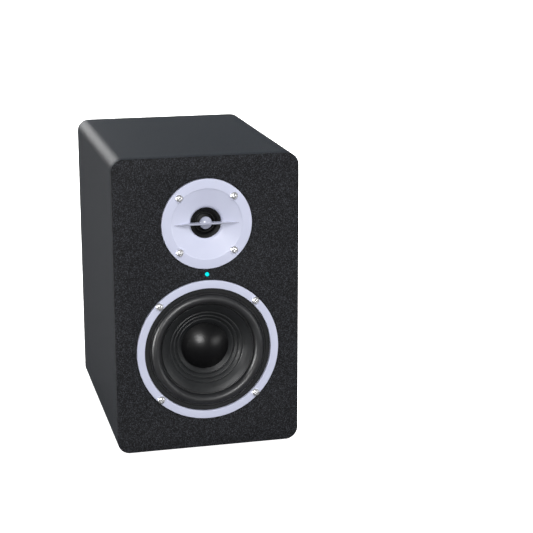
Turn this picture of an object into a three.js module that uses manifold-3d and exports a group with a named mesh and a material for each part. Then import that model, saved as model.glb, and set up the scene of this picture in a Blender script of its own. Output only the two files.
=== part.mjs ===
// Two-way powered bookshelf speaker, in millimetres. +Z is up, the front faces -Y, and +X is to the
// right of a listener who faces it. The origin is under the middle of the object, on the surface that
// its feet stand on.
//
// Inside the "speaker" group, y is the depth behind the cabinet's front face and z is the height above
// the cabinet's underside. Each driver has a group on its own axis, where a turned piece is given as
// [radius, depth] pairs.
import * as THREE from "three";
import { mergeVertices } from "three/addons/utils/BufferGeometryUtils.js";
import Module from "manifold-3d";

const wasm = await Module();
wasm.setup();

// ---- Driving dimensions ----

// Cabinet
const WIDTH = 150;
const HEIGHT = 241;
const DEPTH = 204;
const EDGE_RADIUS = 10;
const WALL = 12;
const FACE_SKIN = 1.5;
const BAFFLE = 15;
const FOOT_HEIGHT = 2;
const FOOT_SIDE = 22;
const FOOT_INSET = 16;

// Clearances
const GAP = 0.3;
const SCREW_HOLE_PLAY = 0.4;

// Driver axes, above the cabinet's underside
const TWEETER_Z = 186.8;
const LED_Z = 145.6;
const WOOFER_Z = 82.8;

// Power lamp
const LED_R = 1.5;
const LED_LENGTH = 9;

// Tweeter
const PLATE_R = 36.4;
const PLATE_PROUD = 0.8;
const PLATE_SEAT = 4.5;
const HORN_MOUTH_R = 28.2;
const THROAT_R = 12.5;
const HORN_START = -0.25;
const THROAT_DEPTH = 4.6;
const BLADE_HALF = 26;
const BLADE_THICK = 1.4;
const BALL_R = 5.1;
const BALL_DEPTH = 4.8;
const TWEETER_SCREW_R = 31;
const TWEETER_MOTOR_R = 23.5;

// Woofer
const RING_R = 58;
const RING_HOLE_R = 51.7;
const RING_PROUD = 1.2;
const RING_BACK = 2.1;
const WOOFER_SCREW_R = 55.2;
const ROLL_CENTRE_R = 42.6;
const ROLL_R = 3.9;
const ROLL_BASE = 1.8;
const CONE_R = 37.6;
const CAP_R = 19.2;
const CAP_DEPTH = 11.8;
const CAP_RISE = 7.4;
const COIL_R = 12.5;
const SPIDER_DEPTH = 17;

// Screws
const HEAD_R = 3.1;
const HEAD_HEIGHT = 1.9;
const SHANK_R = 1.4;

// Rear panel
const PANEL = 12;
const PORT_Z = 200;
const PORT_R = 16.5;
const PORT_LENGTH = 90;
const PLATE_WIDTH = 121;
const PLATE_HEIGHT = 149;
const PLATE_Z = 89;
const PLATE_THICK = 2;
const PLATE_SCREW_X = 56.5;
const PLATE_SCREW_Z = 70.5;
const OPENING_WIDTH = 104;
const OPENING_HEIGHT = 134;
const REAR = DEPTH + PLATE_THICK;
const KNOB_LENGTH = 14;

// Places on the amplifier plate, as [x, z] in the speaker group
const KNOB_AT = [38, 96];
const TRS_AT = [2, 96];
const RCA_AT = [-38, 96];
const TERMINALS_AT = [-30, 64];
const SWITCH_AT = [-8, 38];
const INLET_AT = [30, 38];
const HEAT_SINK_Z = 136;

// Power rocker and terminal levers
const ROCKER_TILT = 12;
const ROCKER_PIVOT = REAR - 3;
const LEVER_SPACING = 16;

// Roundness: how many flat sides a circle gets
const LARGE = 32;
const MEDIUM = 16;
const BASKET_SIDES = 24;
const SMALL = 6;
const SCREW_SIDES = 8;

const FRONT_MOST = -RING_PROUD - HEAD_HEIGHT;
const REAR_MOST = REAR + KNOB_LENGTH;
const MID_DEPTH = (FRONT_MOST + REAR_MOST) / 2;

// ---- Materials ----

const finish = (color, roughness, metalness = 0) => (
  new THREE.MeshStandardMaterial({ color, roughness, metalness })
);

const vinyl = finish(0x43474b, 0.55);
const faceTexture = finish(0x2d2e31, 0.75);
const board = finish(0x8a6f4e, 0.8);
const silver = finish(0xc4c8dc, 0.35);
const blackPlastic = finish(0x17181a, 0.45);
const rubber = finish(0x1d1e20, 0.5);
const conePulp = finish(0x26282a, 0.4);
const silk = finish(0x121213, 0.6);
const lamp = finish(0x00f0e6, 0.3);
const chrome = finish(0xd8d8da, 0.15, 1);
const steel = finish(0x8d9094, 0.4, 1);
const ferrite = finish(0x3a3b3d, 0.7);
const copper = finish(0xb5703c, 0.35, 1);
const wadding = finish(0xdad7cf, 0.95);
const circuitBoard = finish(0x1f5a3a, 0.5);
const platePaint = finish(0x1b1c1e, 0.5, 0.3);
const aluminium = finish(0x9a9da1, 0.4, 1);
const red = finish(0xb3201e, 0.4);

// ---- Shape helpers ----

// A turned piece about the driver axis (Y), from [radius, depth] pairs. The outline either starts and
// ends on the axis or closes on itself.
function turned(outline, sides = MEDIUM) {
  const points = outline.map(([radius, depth]) => new THREE.Vector2(radius, depth));
  if (THREE.ShapeUtils.area(points) < 0) {
    points.reverse();
  }
  if (points[0].x > 0 || points.at(-1).x > 0) {
    points.push(points[0].clone());
  }
  return new THREE.LatheGeometry(points, sides);
}

// A round bar along Y between two depths.
function bar(radius, front, back, sides = MEDIUM) {
  const cylinder = new THREE.CylinderGeometry(radius, radius, back - front, sides);
  return cylinder.translate(0, (front + back) / 2, 0);
}

// A box given by its two opposite corners.
function block([x0, y0, z0], [x1, y1, z1]) {
  const box = new THREE.BoxGeometry(x1 - x0, y1 - y0, z1 - z0);
  return box.translate((x0 + x1) / 2, (y0 + y1) / 2, (z0 + z1) / 2);
}

// A flat outline in x and z, given thickness between two depths.
function slab(outline, front, back, curveSegments = 5) {
  const settings = { depth: back - front, bevelEnabled: false, curveSegments };
  const solid = new THREE.ExtrudeGeometry(outline, settings);
  return solid.rotateX(Math.PI / 2).translate(0, back, 0);
}

// A rectangle with round corners, centred on x = 0 and on the given height.
function roundedRectangle(width, height, radius, centreZ = 0) {
  const right = width / 2 - radius;
  const top = centreZ + height / 2 - radius;
  const bottom = centreZ - height / 2 + radius;
  const outline = new THREE.Shape();
  outline.absarc(right, top, radius, 0, Math.PI / 2, false);
  outline.absarc(-right, top, radius, Math.PI / 2, Math.PI, false);
  outline.absarc(-right, bottom, radius, Math.PI, 1.5 * Math.PI, false);
  outline.absarc(right, bottom, radius, 1.5 * Math.PI, 2 * Math.PI, false);
  outline.closePath();
  return outline;
}

// A closed geometry as a solid that can be joined and cut. Facets of no area, where a turned outline
// meets its axis, are dropped.
function solidOf(geometry) {
  const bare = geometry.clone();
  bare.deleteAttribute("normal");
  bare.deleteAttribute("uv");
  const merged = mergeVertices(bare, 1e-4);
  const corners = merged.index.array;
  const kept = [];
  for (let i = 0; i < corners.length; i += 3) {
    const [a, b, c] = corners.slice(i, i + 3);
    if (a !== b && b !== c && c !== a) {
      kept.push(a, b, c);
    }
  }
  const vertProperties = Float32Array.from(merged.attributes.position.array);
  const triVerts = Uint32Array.from(kept);
  return new wasm.Manifold(new wasm.Mesh({ numProp: 3, vertProperties, triVerts }));
}

function geometryOf(solid) {
  const mesh = solid.getMesh();
  const geometry = new THREE.BufferGeometry();
  geometry.setAttribute("position", new THREE.BufferAttribute(mesh.vertProperties, 3));
  geometry.setIndex(new THREE.BufferAttribute(mesh.triVerts, 1));
  geometry.computeVertexNormals();
  return geometry;
}

function cut(body, ...tools) {
  return geometryOf(tools.reduce((solid, tool) => solid.subtract(solidOf(tool)), solidOf(body)));
}

function join(body, ...others) {
  return geometryOf(others.reduce((solid, other) => solid.add(solidOf(other)), solidOf(body)));
}

function place(parent, name, material, geometry) {
  const mesh = new THREE.Mesh(geometry, material);
  mesh.name = name;
  parent.add(mesh);
  return mesh;
}

function groupAt(parent, x, y, z) {
  const group = new THREE.Group();
  group.position.set(x, y, z);
  parent.add(group);
  return group;
}

// ---- Screws ----

// The four corners of a screw square, clockwise from the upper left, as [x, z].
function corners(x, z = x) {
  return [[-x, z], [x, z], [x, -z], [-x, -z]];
}

function screwCorners(circleRadius) {
  return corners(circleRadius * Math.SQRT1_2);
}

function screwHoles(places, front, back, extra = SCREW_HOLE_PLAY) {
  return places.map(([x, z]) => bar(SHANK_R + extra, front, back, SMALL).translate(x, 0, z));
}

// A pan-head screw. Its head sits at depth 0 and points to the front.
function panScrew(length) {
  return turned([
    [0, -HEAD_HEIGHT],
    [0.6 * HEAD_R, -HEAD_HEIGHT],
    [HEAD_R, -0.3 * HEAD_HEIGHT],
    [HEAD_R, 0],
    [SHANK_R, 0],
    [0, length],
  ], SCREW_SIDES);
}

function addScrews(parent, prefix, places, seat, length, facesBack = false) {
  places.forEach(([x, z], index) => {
    const screw = place(parent, `${prefix}_${index + 1}`, chrome, panScrew(length));
    screw.position.set(x, seat, z);
    if (facesBack) {
      screw.rotation.x = Math.PI;
    }
  });
}

// ---- Cabinet ----

const cabinetOutline = () => roundedRectangle(WIDTH, HEIGHT, EDGE_RADIUS, HEIGHT / 2);
const insideOutline = (gap = 0) => (
  roundedRectangle(WIDTH - 2 * (WALL + gap), HEIGHT - 2 * (WALL + gap), 3, HEIGHT / 2)
);

function addCabinet(speaker) {
  const shellOutline = cabinetOutline();
  shellOutline.holes.push(insideOutline());
  place(speaker, "cabinet_shell", vinyl, slab(shellOutline, FACE_SKIN, DEPTH));

  const ledHole = (radius, front, back) => bar(radius, front, back, 12).translate(0, 0, LED_Z);
  const tweeterBar = (radius, front, back) => bar(radius, front, back, LARGE).translate(0, 0, TWEETER_Z);
  const wooferBar = (radius, front, back) => bar(radius, front, back, LARGE).translate(0, 0, WOOFER_Z);
  const lampHoleR = LED_R + GAP;

  place(speaker, "front_face_skin", faceTexture, cut(
    slab(cabinetOutline(), 0, FACE_SKIN),
    tweeterBar(PLATE_R + GAP, -1, FACE_SKIN + 1),
    wooferBar(RING_R + GAP, -1, FACE_SKIN + 1),
    ledHole(lampHoleR, -1, FACE_SKIN + 1),
  ));

  const baffleBack = FACE_SKIN + BAFFLE;
  const through = baffleBack + 1;
  const tweeterScrews = screwCorners(TWEETER_SCREW_R).map(([x, z]) => [x, z + TWEETER_Z]);
  const wooferScrews = screwCorners(WOOFER_SCREW_R).map(([x, z]) => [x, z + WOOFER_Z]);
  place(speaker, "front_baffle", board, cut(
    slab(insideOutline(GAP), FACE_SKIN, baffleBack),
    tweeterBar(PLATE_R + GAP, 0, PLATE_SEAT + GAP),
    tweeterBar(TWEETER_MOTOR_R + GAP, 0, through),
    wooferBar(RING_R + GAP, 0, BASKET_FLANGE_BACK + GAP),
    wooferBar(BASKET_HOLE_R, 0, through),
    ledHole(lampHoleR, 0, through),
    ...screwHoles([...tweeterScrews, ...wooferScrews], 0, through, GAP),
  ));

  const plateScrews = corners(PLATE_SCREW_X, PLATE_SCREW_Z).map(([x, z]) => [x, z + PLATE_Z]);
  const panelFront = DEPTH - PANEL;
  place(speaker, "back_panel", board, cut(
    slab(insideOutline(GAP), panelFront, DEPTH),
    bar(PORT_R + 2 + GAP, 0, DEPTH + 1).translate(0, 0, PORT_Z),
    block(
      [-OPENING_WIDTH / 2, 0, PLATE_Z - OPENING_HEIGHT / 2],
      [OPENING_WIDTH / 2, DEPTH + 1, PLATE_Z + OPENING_HEIGHT / 2],
    ),
    ...screwHoles(plateScrews, 0, DEPTH + 1, GAP),
  ));

  const footX = WIDTH / 2 - FOOT_INSET - FOOT_SIDE / 2;
  const footY = [FOOT_INSET + FOOT_SIDE / 2, DEPTH - FOOT_INSET - FOOT_SIDE / 2];
  const sides = [["left", -footX], ["right", footX]];
  const ends = [["front", footY[0]], ["rear", footY[1]]];
  for (const [endName, y] of ends) {
    for (const [sideName, x] of sides) {
      const pad = new THREE.CylinderGeometry(FOOT_SIDE / 2, FOOT_SIDE / 2 - 0.6, FOOT_HEIGHT, MEDIUM);
      pad.rotateX(Math.PI / 2);
      const foot = place(speaker, `foot_${endName}_${sideName}`, rubber, pad);
      foot.position.set(x, y, -FOOT_HEIGHT / 2);
    }
  }

  const portBack = DEPTH + 1.5;
  const portWall = 2;
  const port = groupAt(speaker, 0, 0, PORT_Z);
  place(port, "port_tube", blackPlastic, turned([
    [PORT_R, DEPTH - PORT_LENGTH],
    [PORT_R, DEPTH - 12],
    [PORT_R + 1.5, DEPTH - 5],
    [PORT_R + 5.5, portBack],
    [PORT_R + 9, portBack],
    [PORT_R + 9, DEPTH],
    [PORT_R + portWall, DEPTH],
    [PORT_R + portWall, DEPTH - PORT_LENGTH],
  ]));

  const padThick = 14;
  const padOut = WIDTH / 2 - WALL - GAP;
  const padTop = HEIGHT - WALL - GAP;
  const padBottom = 62;
  const arch = new THREE.Shape([
    [-padOut, padBottom],
    [padThick - padOut, padBottom],
    [padThick - padOut, padTop - padThick],
    [padOut - padThick, padTop - padThick],
    [padOut - padThick, padBottom],
    [padOut, padBottom],
    [padOut, padTop - 4],
    [padOut - 4, padTop],
    [4 - padOut, padTop],
    [-padOut, padTop - 4],
  ].map(([x, z]) => new THREE.Vector2(x, z)));
  place(speaker, "damping_wadding", wadding, slab(arch, 32, 106));

  const lampBody = turned([
    [0, -0.35],
    [LED_R - 0.45, -0.2],
    [LED_R, 0.1],
    [LED_R, LED_LENGTH],
    [0, LED_LENGTH],
  ], 12);
  place(groupAt(speaker, 0, 0, LED_Z), "led_lens", lamp, lampBody);
}

// ---- Tweeter ----

// Depth of the horn's wall at a radius: a shallow cone that steepens into the throat.
function hornDepth(radius) {
  const inward = (HORN_MOUTH_R - radius) / (HORN_MOUTH_R - THROAT_R);
  return HORN_START + (THROAT_DEPTH - HORN_START) * (0.8 * inward + 0.2 * inward ** 8);
}

function hornWall(steps, shift = 0) {
  const wall = [];
  for (let i = 0; i <= steps; i += 1) {
    const radius = THROAT_R + ((HORN_MOUTH_R - THROAT_R) * i) / steps;
    wall.push([radius, hornDepth(radius) + shift]);
  }
  return wall;
}

// The blade runs across the horn and carries a ball on the axis. Its back follows the horn's wall.
function phaseBlade() {
  const outline = new THREE.Shape();
  const back = hornWall(4, -GAP).filter(([radius]) => radius < BLADE_HALF);
  const tip = [BLADE_HALF, hornDepth(BLADE_HALF) - GAP];
  const rightSide = [...back, tip];
  const leftSide = rightSide.map(([radius, depth]) => [-radius, depth]).reverse();
  outline.moveTo(-BLADE_HALF, -PLATE_PROUD);
  outline.lineTo(BLADE_HALF, -PLATE_PROUD);
  for (const [x, depth] of [...rightSide].reverse()) {
    outline.lineTo(x, depth);
  }
  for (const [x, depth] of [...leftSide].reverse()) {
    outline.lineTo(x, depth);
  }
  outline.closePath();
  const settings = { depth: BLADE_THICK, bevelEnabled: false };
  const blade = new THREE.ExtrudeGeometry(outline, settings).translate(0, 0, -BLADE_THICK / 2);
  const ball = new THREE.SphereGeometry(BALL_R, 16, 10).translate(0, BALL_DEPTH, 0);
  const ballBack = block([-10, BALL_DEPTH + 3, -10], [10, BALL_DEPTH + 10, 10]);
  return cut(join(blade, ball), ballBack);
}

function addTweeter(speaker) {
  const tweeter = groupAt(speaker, 0, 0, TWEETER_Z);
  const seatR = 16.3;
  const seatDepth = THROAT_DEPTH + 0.6;
  const collarBack = 8;
  const screws = screwCorners(TWEETER_SCREW_R);

  place(tweeter, "tweeter_faceplate", silver, cut(
    turned([
      ...hornWall(4),
      [HORN_MOUTH_R + 0.4, -PLATE_PROUD],
      [PLATE_R - 0.5, -PLATE_PROUD],
      [PLATE_R, -PLATE_PROUD + 0.5],
      [PLATE_R, PLATE_SEAT],
      [TWEETER_MOTOR_R, PLATE_SEAT],
      [TWEETER_MOTOR_R, collarBack],
      [seatR, collarBack],
      [seatR, seatDepth],
      [THROAT_R, seatDepth],
    ], LARGE),
    ...screwHoles(screws, -3, PLATE_SEAT + 1),
  ));
  place(tweeter, "tweeter_phase_blade", silver, phaseBlade());

  const lipR = 9.2;
  const lipDepth = 6.9;
  place(tweeter, "tweeter_throat_ring", blackPlastic, turned([
    [THROAT_R - GAP, THROAT_DEPTH + GAP],
    [lipR, lipDepth],
    [lipR, collarBack - 0.2],
    [seatR - GAP, collarBack - 0.2],
    [seatR - GAP, seatDepth + GAP],
    [THROAT_R - GAP, seatDepth + GAP],
  ]));

  const skinT = 0.4;
  const flange = collarBack + GAP;
  const domeR = 6.4;
  const domeEdge = 9.5;
  place(tweeter, "tweeter_surround", silk, turned([
    [seatR - 1, flange],
    [9, flange],
    [8.5, 7.6],
    [7.7, 7.3],
    [7.1, 7.8],
    [domeR + GAP, domeEdge],
    [domeR + GAP, domeEdge + skinT],
    [7.5, 8.2],
    [7.7, 7.8],
    [8.2, 8],
    [8.7, flange + skinT],
    [seatR - 1, flange + skinT],
  ]));
  place(tweeter, "tweeter_dome", silk, turned([
    [0, domeEdge - 1],
    [3.4, domeEdge - 0.7],
    [domeR, domeEdge],
    [domeR, domeEdge + skinT],
    [3.4, domeEdge - 0.7 + skinT],
    [0, domeEdge - 1 + skinT],
  ]));

  const topFront = 9.6;
  const topBack = 13.2;
  const magnetBack = 21.5;
  const yokeBack = 25.5;
  const poleR = 5.4;
  place(tweeter, "tweeter_voice_coil", copper, turned([
    [5.9, domeEdge + skinT + 0.1],
    [6.3, domeEdge + skinT + 0.1],
    [6.3, 15],
    [5.9, 15],
  ]));
  place(tweeter, "tweeter_top_plate", steel, turned([
    [7, topFront],
    [TWEETER_MOTOR_R - 0.5, topFront],
    [TWEETER_MOTOR_R - 0.5, topBack],
    [7, topBack],
  ]));
  place(tweeter, "tweeter_magnet", ferrite, turned([
    [9, topBack],
    [TWEETER_MOTOR_R - 1.5, topBack],
    [TWEETER_MOTOR_R - 1.5, magnetBack],
    [9, magnetBack],
  ]));
  place(tweeter, "tweeter_yoke", steel, turned([
    [0, topFront + 1.5],
    [poleR, topFront + 1.5],
    [poleR, magnetBack],
    [TWEETER_MOTOR_R - 3, magnetBack],
    [TWEETER_MOTOR_R - 3, yokeBack],
    [0, yokeBack],
  ]));
  addScrews(tweeter, "tweeter_screw", screws, -PLATE_PROUD, 14);
}

// ---- Woofer ----

const BASKET_FLANGE_FRONT = 2.4;
const BASKET_FLANGE_BACK = 3.9;
const BASKET_HOLE_R = 50.2;
const BASKET_FLOOR = 26;
const BASKET_SHEET = 1.5;
const MOTOR_FRONT = BASKET_FLOOR + BASKET_SHEET;
const TOP_PLATE_BACK = MOTOR_FRONT + 4;
const MAGNET_BACK = TOP_PLATE_BACK + 14;
const BACK_PLATE_BACK = MAGNET_BACK + 4;

// A pressed steel basket: a flat rim, a tapered wall with four windows, a ledge for the spider and a
// floor that carries the motor.
function basket(screws) {
  const ledge = SPIDER_DEPTH + 1.5;
  const body = turned([
    [47, BASKET_FLANGE_FRONT],
    [RING_R - 0.1, BASKET_FLANGE_FRONT],
    [RING_R - 0.1, BASKET_FLANGE_BACK],
    [47.5, BASKET_FLANGE_BACK],
    [38, ledge],
    [38, ledge + BASKET_SHEET],
    [31.5, ledge + BASKET_SHEET],
    [31.5, MOTOR_FRONT],
    [17, MOTOR_FRONT],
    [17, BASKET_FLOOR],
    [30, BASKET_FLOOR],
    [30, ledge],
    [36.5, ledge],
  ], BASKET_SIDES);
  const windowHalf = 20;
  const windowFront = BASKET_FLANGE_BACK + 2;
  const windowBack = ledge - 2;
  const windows = [
    block([-windowHalf, windowFront, -60], [windowHalf, windowBack, 60]),
    block([-60, windowFront, -windowHalf], [60, windowBack, windowHalf]),
  ];
  return cut(body, ...windows, ...screwHoles(screws, 0, 8));
}

// The rubber half-roll, with a flat rim for the gasket and a lip for the cone.
function surround() {
  const skinT = 0.5;
  const steps = 4;
  const arc = (radius) => {
    const points = [];
    for (let i = 0; i <= steps; i += 1) {
      const angle = (Math.PI * i) / steps;
      points.push([ROLL_CENTRE_R + radius * Math.cos(angle), ROLL_BASE - radius * Math.sin(angle)]);
    }
    return points;
  };
  return turned([
    [RING_HOLE_R - GAP, ROLL_BASE - 0.2],
    ...arc(ROLL_R),
    [CONE_R + GAP, ROLL_BASE],
    [CONE_R + GAP, ROLL_BASE + skinT],
    ...arc(ROLL_R - skinT).reverse(),
    [RING_HOLE_R - GAP, ROLL_BASE - 0.2 + skinT],
  ], LARGE);
}

// The cone's front, from rim to neck: a smooth wall, three grooves and a ledge under the dust cap.
const CONE_FRONT = [
  [CONE_R, 1.5],
  [33.5, 4.2],
  [30.1, 6.5],
  [28.5, 7.2],
  [26.9, 9.1],
  [25.3, 9.7],
  [23.6, 11.5],
  [CAP_R, 12.8],
  [COIL_R + 0.7, 14.4],
];

function addWoofer(speaker) {
  const woofer = groupAt(speaker, 0, 0, WOOFER_Z);
  const screws = screwCorners(WOOFER_SCREW_R);

  place(woofer, "woofer_trim_ring", silver, cut(
    turned([
      [RING_HOLE_R + 0.3, -RING_PROUD],
      [RING_R - 0.4, -RING_PROUD],
      [RING_R, -RING_PROUD + 0.4],
      [RING_R, RING_BACK],
      [RING_HOLE_R, RING_BACK],
      [RING_HOLE_R, -RING_PROUD + 0.3],
    ], LARGE),
    ...screwHoles(screws, -3, 5),
  ));
  place(woofer, "woofer_basket", steel, basket(screws));
  place(woofer, "woofer_gasket", blackPlastic, turned([
    [RING_HOLE_R - GAP, 0.5],
    [RING_HOLE_R - GAP, 1.3],
    [47.1, 1.3],
    [47.1, 0.5],
  ], LARGE));
  place(woofer, "woofer_surround", rubber, surround());

  const paper = 0.7;
  const coneBack = CONE_FRONT.map(([radius, depth]) => [radius, depth + paper]).reverse();
  place(woofer, "woofer_cone", conePulp, turned([...CONE_FRONT, ...coneBack], LARGE));

  const capT = 0.5;
  const capArc = (shift) => [0, 0.35, 0.65, 0.88, 1].map((part) => (
    [CAP_R * part, CAP_DEPTH - CAP_RISE * (1 - part ** 2) + shift]
  ));
  place(woofer, "woofer_dust_cap", conePulp, turned([...capArc(0), ...capArc(capT).reverse()], MEDIUM));

  const windingFront = MOTOR_FRONT - 2;
  const windingBack = MOTOR_FRONT + 7;
  place(woofer, "woofer_voice_coil", copper, turned([
    [COIL_R, 13],
    [COIL_R + 0.4, 13],
    [COIL_R + 0.4, windingFront],
    [COIL_R + 1.1, windingFront],
    [COIL_R + 1.1, windingBack],
    [COIL_R, windingBack],
  ]));

  const folds = [[COIL_R + 0.7, 0], [17, 1], [20, -1], [23, 1], [26, -1], [29, 1], [35, 0.9]];
  const spiderFace = (shift) => folds.map(([radius, wave]) => [radius, SPIDER_DEPTH + wave * 0.6 + shift]);
  place(woofer, "woofer_spider", board, turned([...spiderFace(0), ...spiderFace(0.4).reverse()]));

  const plateBore = COIL_R + 1.7;
  place(woofer, "woofer_top_plate", steel, turned([
    [plateBore, MOTOR_FRONT],
    [30, MOTOR_FRONT],
    [30, TOP_PLATE_BACK],
    [plateBore, TOP_PLATE_BACK],
  ]));
  place(woofer, "woofer_magnet", ferrite, turned([
    [18, TOP_PLATE_BACK],
    [35, TOP_PLATE_BACK],
    [35, MAGNET_BACK],
    [18, MAGNET_BACK],
  ]));
  const poleR = COIL_R - 0.7;
  const ventR = 4;
  place(woofer, "woofer_back_plate", steel, turned([
    [ventR, MOTOR_FRONT],
    [poleR, MOTOR_FRONT],
    [poleR, MAGNET_BACK],
    [31, MAGNET_BACK],
    [31, BACK_PLATE_BACK],
    [ventR, BACK_PLATE_BACK],
  ]));

  const strip = join(
    block([-8, 9, 44.5], [8, 14, 46.5]),
    block([-6.5, 10.5, 46], [-3.5, 20, 46.5]),
    block([3.5, 10.5, 46], [6.5, 20, 46.5]),
  );
  const terminals = place(woofer, "woofer_terminal_strip", board, strip);
  terminals.rotation.y = Math.PI / 4;
  addScrews(woofer, "woofer_screw", screws, -RING_PROUD, 14);
}

// ---- Amplifier ----

function addPlate(speaker) {
  const outline = roundedRectangle(PLATE_WIDTH, PLATE_HEIGHT, 4, PLATE_Z);
  const out = REAR + 1;
  const screws = corners(PLATE_SCREW_X, PLATE_SCREW_Z).map(([x, z]) => [x, z + PLATE_Z]);
  const roundHole = ([x, z], radius) => bar(radius, 0, out, 16).translate(x, 0, z);
  const squareHole = ([x, z], halfX, halfZ) => (
    block([x - halfX, 0, z - halfZ], [x + halfX, out, z + halfZ])
  );
  place(speaker, "amp_plate", platePaint, cut(
    slab(outline, DEPTH, REAR),
    roundHole(KNOB_AT, 4),
    ...TRS_OFFSETS.map((offset) => roundHole([TRS_AT[0] + offset, TRS_AT[1]], TRS_BUSH_R + GAP)),
    ...RCA_OFFSETS.map((offset) => roundHole([RCA_AT[0], RCA_AT[1] + offset], RCA_R + GAP)),
    squareHole(TERMINALS_AT, TERMINAL_HALF_X + GAP, TERMINAL_HALF_Z + GAP),
    squareHole(SWITCH_AT, SWITCH_HALF_X + GAP, SWITCH_HALF_Z + GAP),
    squareHole(INLET_AT, INLET_HALF_X + GAP, INLET_HALF_Z + GAP),
    ...screwHoles(screws, 0, out),
  ));
  addScrews(speaker, "amp_plate_screw", screws, REAR, 11, true);

  const finCount = 9;
  const finPitch = 10;
  const finThick = 2;
  const finTop = REAR + 10;
  const finSpan = finPitch * (finCount - 1) + finThick;
  const left = -finSpan / 2;
  const comb = new THREE.Shape();
  comb.moveTo(left, REAR);
  for (let i = 0; i < finCount; i += 1) {
    const x = left + i * finPitch;
    comb.lineTo(x, finTop);
    comb.lineTo(x + finThick, finTop);
    if (i < finCount - 1) {
      comb.lineTo(x + finThick, REAR + 2.5);
      comb.lineTo(x + finPitch, REAR + 2.5);
    }
  }
  comb.lineTo(-left, REAR);
  comb.closePath();
  const finHeight = 34;
  const fins = new THREE.ExtrudeGeometry(comb, { depth: finHeight, bevelEnabled: false });
  place(speaker, "heat_sink", aluminium, fins.translate(0, 0, HEAT_SINK_Z - finHeight / 2));
}

function addVolumeControl(speaker) {
  const control = groupAt(speaker, KNOB_AT[0], REAR, KNOB_AT[1]);
  const shaftR = 3;
  const knobR = 9;
  const shaftEnd = 9;
  const bodyBack = -PLATE_THICK - GAP;
  place(control, "volume_potentiometer", steel, cut(
    block([-8, bodyBack - 9, -8], [8, bodyBack, 8]),
    bar(shaftR + GAP, bodyBack - 7, bodyBack + 1, 12),
  ));
  place(control, "volume_shaft", steel, bar(shaftR, bodyBack - 6, shaftEnd, 12));
  place(control, "volume_knob", blackPlastic, turned([
    [shaftR + GAP, 0.8],
    [knobR, 0.8],
    [knobR - 0.6, KNOB_LENGTH - 1],
    [knobR - 1.6, KNOB_LENGTH],
    [0, KNOB_LENGTH],
    [0, shaftEnd + GAP],
    [shaftR + GAP, shaftEnd + GAP],
  ]));
}

const TRS_OFFSETS = [-11, 11];
const TRS_BUSH_R = 5.5;
const TRS_BORE_R = 3.3;
const RCA_OFFSETS = [-8, 8];
const RCA_R = 4.2;

function addJacks(speaker) {
  const jackDepth = 26;
  const trs = groupAt(speaker, TRS_AT[0], REAR, TRS_AT[1]);
  const behind = -PLATE_THICK - GAP;
  place(trs, "trs_jacks", blackPlastic, cut(
    join(
      block([-19, behind - jackDepth, -7.5], [19, behind, 7.5]),
      ...TRS_OFFSETS.map((x) => bar(TRS_BUSH_R, behind - 1, 3, 16).translate(x, 0, 0)),
    ),
    ...TRS_OFFSETS.map((x) => bar(TRS_BORE_R, behind - jackDepth + 3, 5, 16).translate(x, 0, 0)),
  ));

  const rca = groupAt(speaker, RCA_AT[0], REAR, RCA_AT[1]);
  place(rca, "rca_jacks", chrome, cut(
    join(
      block([-6.5, behind - 12, -14], [6.5, behind, 14]),
      ...RCA_OFFSETS.map((z) => bar(RCA_R, behind - 1, 9, 12).translate(0, 0, z)),
    ),
    ...RCA_OFFSETS.map((z) => bar(1.7, -4, 10, SMALL).translate(0, 0, z)),
  ));
}

const TERMINAL_HALF_X = 16;
const TERMINAL_HALF_Z = 12;

// Spring terminals for the passive speaker: a block with two wells, each with a lever hinged near its
// top. A bare wire goes into the hole under the lever.
function addTerminals(speaker) {
  const terminals = groupAt(speaker, TERMINALS_AT[0], REAR, TERMINALS_AT[1]);
  const rimT = 2;
  const wellBack = -8;
  const leverX = [-LEVER_SPACING / 2, LEVER_SPACING / 2];
  place(terminals, "terminal_block", blackPlastic, cut(
    join(
      block([-TERMINAL_HALF_X, -14, -TERMINAL_HALF_Z], [TERMINAL_HALF_X, 1, TERMINAL_HALF_Z]),
      block(
        [-TERMINAL_HALF_X - 2, 0, -TERMINAL_HALF_Z - 2],
        [TERMINAL_HALF_X + 2, rimT, TERMINAL_HALF_Z + 2],
      ),
    ),
    ...leverX.map((x) => block([x - 6.5, wellBack, -2], [x + 6.5, rimT + 1, 10])),
    ...leverX.map((x) => bar(1.6, -12, rimT + 1, SMALL).translate(x, 0, -7)),
  ));
  const leverPlaces = [
    ["terminal_lever_red", red, leverX[0]],
    ["terminal_lever_black", blackPlastic, leverX[1]],
  ];
  for (const [name, material, x] of leverPlaces) {
    const outline = new THREE.Shape([
      [0.5, -0.8],
      [4.6, -0.8],
      [4.2, 7],
      [3, 9],
      [0.5, 9],
    ].map(([depth, z]) => new THREE.Vector2(depth, z)));
    const lever = new THREE.ExtrudeGeometry(outline, { depth: 11.6, bevelEnabled: false });
    // The outline's plane turns from x, y to y, z, and its thickness runs along x.
    lever.applyMatrix4(new THREE.Matrix4().set(0, 0, 1, -5.8, 1, 0, 0, 0, 0, 1, 0, 0, 0, 0, 0, 1));
    place(terminals, name, material, lever.translate(x, 0, 0));
  }
}

const SWITCH_HALF_X = 6.7;
const SWITCH_HALF_Z = 10;

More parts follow.
